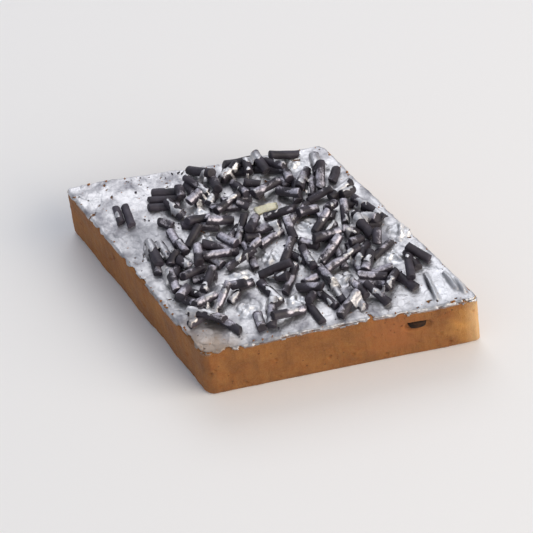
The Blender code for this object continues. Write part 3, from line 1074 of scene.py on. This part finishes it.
def make_wrap(strands):
    """Torn shreds of leaf that lie over the strands and cling to them."""
    columns = np.arange(-HALF_LONG, HALF_LONG, DRAPE_CELL)
    rows = np.arange(-HALF_SHORT, HALF_SHORT, DRAPE_CELL)
    height = resting_heights(columns, rows, strands)
    bm = bmesh.new()
    bmesh.ops.create_grid(
        bm, x_segments=len(columns) - 1, y_segments=len(rows) - 1, size=0.5,
    )
    span = Vector((columns[-1] - columns[0], rows[-1] - rows[0], 1))
    middle = Vector((columns[-1] + columns[0], rows[-1] + rows[0], 0)) / 2
    bmesh.ops.scale(bm, vec=span, verts=bm.verts[:])
    bmesh.ops.translate(bm, vec=middle, verts=bm.verts[:])
    clear = [v for v in bm.verts if is_clear(v.co)]
    bmesh.ops.delete(bm, geom=clear, context="VERTS")
    for vertex in bm.verts:
        column = round((vertex.co.x - columns[0]) / DRAPE_CELL)
        row = round((vertex.co.y - rows[0]) / DRAPE_CELL)
        crease = ridges(vertex.co, *SHRED_CREASES)
        vertex.co.z = height[column, row] + DRAPE_LIFT + crease
    bm.normal_update()
    torn = []
    for face in bm.faces:
        point = face.calc_center_median()
        flat = Vector((point.x, point.y, 0))
        low = point.z - top_height(point.x, point.y) < SHRED_CLEARANCE
        if low or wraps(flat) < STEEP_TEAR * (1 - face.normal.z):
            torn.append(face)
    bmesh.ops.delete(bm, geom=torn, context="FACES")
    drop_scraps(bm, SHRED_SCRAP)
    bmesh.ops.smooth_vert(
        bm, verts=bm.verts[:], factor=SHRED_SMOOTHING,
        use_axis_x=True, use_axis_y=True, use_axis_z=True,
    )
    bm.normal_update()
    return bm


def make_crumb(rng, size):
    """An uneven crumb about its own middle."""
    bm = bmesh.new()
    bmesh.ops.create_icosphere(bm, subdivisions=2, radius=size)
    shift = own_shift(rng)
    wavelength, height = CRUMB_LUMPS
    for vertex in bm.verts:
        vertex.co *= 1 + waves(vertex.co, size * wavelength, height, shift)
    stretch = Vector([rng.uniform(*span) for span in CRUMB_STRETCH])
    bmesh.ops.scale(bm, vec=stretch, verts=bm.verts[:])
    turn = Matrix.Rotation(rng.uniform(0, 2 * math.pi), 4, "Z")
    bmesh.ops.transform(bm, matrix=turn, verts=bm.verts[:])
    return bm


def make_dust(bed, rng):
    """Crumbs of chocolate on the bare leaf between and around the strands."""
    dust = []
    while len(dust) < DUST_COUNT:
        x = rng.triangular(-HALF_LONG, HALF_LONG, 0)
        y = rng.triangular(-HALF_SHORT, HALF_SHORT, 0)
        size = rng.uniform(*DUST_SIZE)
        floor = top_height(x, y)
        bare = float(bed.under(np.array([x]), np.array([y]))[0]) < floor + BARE_BELOW
        if bare and min(edge_distances(x, y)) > RIM_ROUNDING + size:
            crumb = make_crumb(rng, size)
            height = floor + LEAF_LIFT + size * DUST_STANDS
            bmesh.ops.translate(crumb, vec=(x, y, height), verts=crumb.verts)
            dust.append(crumb)
    return dust


def make_fudge_crumbs(rng):
    """Crumbs that the knife dragged up, caught along the rims of the top."""
    crumbs = []
    for _ in range(FUDGE_CRUMB_COUNT):
        side = rng.randrange(4)
        along = rng.uniform(*FUDGE_CRUMB_ALONG)
        place = CORNERS[side].lerp(CORNERS[(side + 1) % 4], along)
        place *= 1 - rng.uniform(*FUDGE_CRUMB_INSET)
        size = rng.uniform(*FUDGE_CRUMB_SIZE)
        crumb = make_crumb(rng, size)
        height = top_height(place.x, place.y) + LEAF_LIFT + size * FUDGE_CRUMB_STANDS
        bmesh.ops.translate(crumb, vec=(place.x, place.y, height), verts=crumb.verts)
        crumbs.append(crumb)
    return crumbs


def drop_scraps(bm, fewest):
    """Deletes loose islands that have fewer faces than this."""
    left = set(bm.faces)
    scraps = []
    while left:
        island = []
        front = [left.pop()]
        while front:
            face = front.pop()
            island.append(face)
            for edge in face.edges:
                for near in edge.link_faces:
                    if near in left:
                        left.remove(near)
                        front.append(near)
        if len(island) < fewest:
            scraps += island
    bmesh.ops.delete(bm, geom=scraps, context="FACES")


def make_strand(middle, direction, length, radius, roll, rng):
    """One strand: a rod with a slight bend, an uneven skin and two broken ends."""
    bm = bmesh.new()
    bmesh.ops.create_cone(
        bm, cap_ends=True, segments=STRAND_SIDES, radius1=radius,
        radius2=radius * STRAND_TAPER, depth=length,
    )
    sides = [e for e in bm.edges if abs(e.verts[0].co.z - e.verts[1].co.z) > length / 2]
    bmesh.ops.subdivide_edges(bm, edges=sides, cuts=STRAND_RINGS)
    caps = [f for f in bm.faces if len(f.verts) > 4]
    rims = list({e for f in caps for e in f.edges})
    bevel_edges(bm, rims, STRAND_EDGE * radius, 2)
    caps = [f for f in bm.faces if len(f.verts) > 4]
    bmesh.ops.inset_individual(bm, faces=caps, thickness=STRAND_END_INSET * radius)
    half = length / 2
    bend = rng.uniform(-1, 1) * STRAND_BEND * (length / SPRINKLE_LENGTH[1]) ** 2
    slants = [rng.uniform(-1, 1) * BREAK_SLANT for _ in range(2)]
    shift = own_shift(rng)
    for vertex in bm.verts:
        share = vertex.co.z / half
        lump = 1 + waves(vertex.co, *STRAND_LUMPS, shift)
        grain = waves(vertex.co, *BREAK_GRAIN, shift) * radius
        end = max(0.0, abs(share) - SLANTED_FROM) / (1 - SLANTED_FROM)
        slant = slants[0 if share < 0 else 1]
        vertex.co.z += vertex.co.y * slant * end
        if abs(share) > BROKEN_FROM:
            vertex.co.z += grain
        vertex.co.x = vertex.co.x * lump + bend * (share**2 - UNBENT_AT)
        vertex.co.y *= lump
    turn = direction.to_track_quat("Z", "Y").to_matrix().to_4x4()
    place = Matrix.Translation(middle) @ turn @ Matrix.Rotation(roll, 4, "Z")
    bmesh.ops.transform(bm, matrix=place, verts=bm.verts[:])
    return bm


def make_caught_strand(middle, direction, length, radius, roll, rng):
    """The strand in the cut, whose ends dive into the fudge."""
    bm = make_strand(middle, direction, length, radius, roll, rng)
    outward = Vector((direction.y, -direction.x, 0))
    for vertex in bm.verts:
        share = (vertex.co - middle).dot(direction) / (length / 2)
        vertex.co -= outward * CAUGHT_DIVE * share**2
    return bm


def gather(parts):
    """Joins separate meshes into one, without merging them."""
    whole = bmesh.new()
    for part in parts:
        mesh = bpy.data.meshes.new("gathered")
        part.to_mesh(mesh)
        part.free()
        whole.from_mesh(mesh)
        bpy.data.meshes.remove(mesh)
    return whole


def make_nut(bed):
    """A split chip: a small block with slanted, uneven faces, tipped a little to one side."""
    long, wide, high = NUT_SIZE
    level, slope = bed.rest(*NUT_PLACE, NUT_HEADING, long, wide / 2)
    bm = bmesh.new()
    bmesh.ops.create_cube(bm, size=1.0)
    bmesh.ops.scale(bm, vec=NUT_SIZE, verts=bm.verts[:])
    for vertex in bm.verts:
        vertex.co.x += vertex.co.z * math.tan(NUT_SLANT)
        vertex.co.y *= 1 - NUT_NARROWING * vertex.co.x / long
    bevel_edges(bm, bm.edges[:], NUT_EDGE, 2)
    bmesh.ops.subdivide_edges(bm, edges=bm.edges[:], cuts=NUT_CUTS, use_grid_fill=True)
    bm.normal_update()
    normals = {v: v.normal.copy() for v in bm.verts}
    for vertex in bm.verts:
        vertex.co += normals[vertex] * sum(waves(vertex.co, *split) for split in NUT_SPLITS)
    tip = math.atan(slope) + NUT_TIP
    place = Matrix.Translation((*NUT_PLACE, level + high / 2 - 2 * PRESSED_IN))
    turn = Matrix.Rotation(NUT_HEADING, 4, "Z") @ Matrix.Rotation(-tip, 4, "Y")
    bmesh.ops.transform(bm, matrix=place @ turn, verts=bm.verts[:])
    return bm


def make_piece(name, bm, material, thickness=0.0):
    """Stores a finished mesh as a piece of the barfi that rides on the body."""
    mesh = bpy.data.meshes.new(name)
    bm.to_mesh(mesh)
    bm.free()
    mesh.shade_smooth()
    mesh.materials.append(material)
    piece = bpy.data.objects.new(name, mesh)
    bpy.context.scene.collection.objects.link(piece)
    if thickness:
        wall = piece.modifiers.new("thickness", "SOLIDIFY")
        wall.thickness = thickness
        wall.offset = -1
    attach(piece, "root")
    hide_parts("barfi")
    return piece


def dress():
    slab = make_slab()
    leaf = make_leaf(slab)
    fudge = knife_cut_fudge()
    silver = beaten_silver_leaf()
    make_piece("fudge_slab", slab, fudge)
    make_piece("silver_leaf", leaf, silver, LEAF_THICKNESS)

    rng = random.Random(SEED)
    bed = Bed()
    sprinkles = place_sprinkles(PLACED_SPRINKLES, bed, rng)
    sprinkles += scatter_sprinkles(bed, rng, SPRINKLE_COUNT - len(sprinkles))
    sprinkles += place_sprinkles([LAST_SPRINKLE], bed, rng)
    make_piece("nut_chip", make_nut(bed), chopped_nut())
    parts = [make_strand(*sprinkle, rng.uniform(0, math.pi), rng) for sprinkle in sprinkles]
    strands = gather(parts)
    caught = make_caught_strand(*caught_sprinkle(), 0.0, rng)
    make_piece("caught_strand", caught, shaded_smeared_chocolate())
    chocolate = extruded_chocolate()
    make_piece("leaf_over_strands", make_wrap(strands), silver, LEAF_THICKNESS)
    make_piece("chocolate_strands", strands, chocolate)
    make_piece("chocolate_dust", gather(make_dust(bed, rng)), chocolate)
    make_piece("fudge_crumbs", gather(make_fudge_crumbs(rng)), fudge)


def add_floor():
    bm = bmesh.new()
    bmesh.ops.create_grid(bm, x_segments=4, y_segments=4, size=FLOOR_REACH)
    mesh = bpy.data.meshes.new("floor")
    bm.to_mesh(mesh)
    bm.free()
    mesh.materials.append(white_card())
    floor = bpy.data.objects.new("floor", mesh)
    bpy.context.scene.collection.objects.link(floor)


def add_panel(name, direction, distance, size, watts, tint):
    """A soft light that faces the barfi from this direction."""
    lamp = bpy.data.lights.new(name, "AREA")
    lamp.shape = "RECTANGLE"
    lamp.size, lamp.size_y = size
    lamp.energy = watts
    lamp.color = colour(tint)[:3]
    panel = bpy.data.objects.new(name, lamp)
    away = Vector(direction).normalized()
    panel.matrix_world = (
        Matrix.Translation(away * distance) @ away.to_track_quat("Z", "Y").to_matrix().to_4x4()
    )
    panel.visible_camera = False
    bpy.context.scene.collection.objects.link(panel)


def add_lights():
    add_panel("window", (0.9, -0.05, 0.55), 0.9, (0.8, 0.7), 7.0, "fff3e2")
    add_panel("back_panel", (-0.34, 0.6, 0.74), 0.9, (0.6, 0.5), 1.8, "fbfbff")
    world = bpy.data.worlds.new("studio")
    bpy.context.scene.world = world
    world.use_nodes = True
    feed(world.node_tree, world.node_tree.nodes["Background"], {
        "Color": colour("dfe6f4"), "Strength": 0.57,
    })


def add_camera():
    back = Vector((
        math.sin(AZIMUTH) * math.cos(ELEVATION),
        -math.cos(AZIMUTH) * math.cos(ELEVATION),
        math.sin(ELEVATION),
    ))
    level = Vector((math.cos(AZIMUTH), math.sin(AZIMUTH), 0))
    steep = back.cross(level)
    right = level * math.cos(ROLL) + steep * math.sin(ROLL)
    up = back.cross(right)
    lens = bpy.data.cameras.new("camera")
    lens.lens = LENS
    lens.sensor_width = SENSOR
    lens.clip_start = NEAREST_SEEN
    camera = bpy.data.objects.new("camera", lens)
    camera.matrix_world = (
        Matrix.Translation(TARGET + back * DISTANCE)
        @ Matrix((right, up, back)).transposed().to_4x4()
    )
    bpy.context.scene.collection.objects.link(camera)
    bpy.context.scene.camera = camera
    bpy.context.scene.view_settings.view_transform = "Standard"


dress()
add_floor()
add_lights()
add_camera()
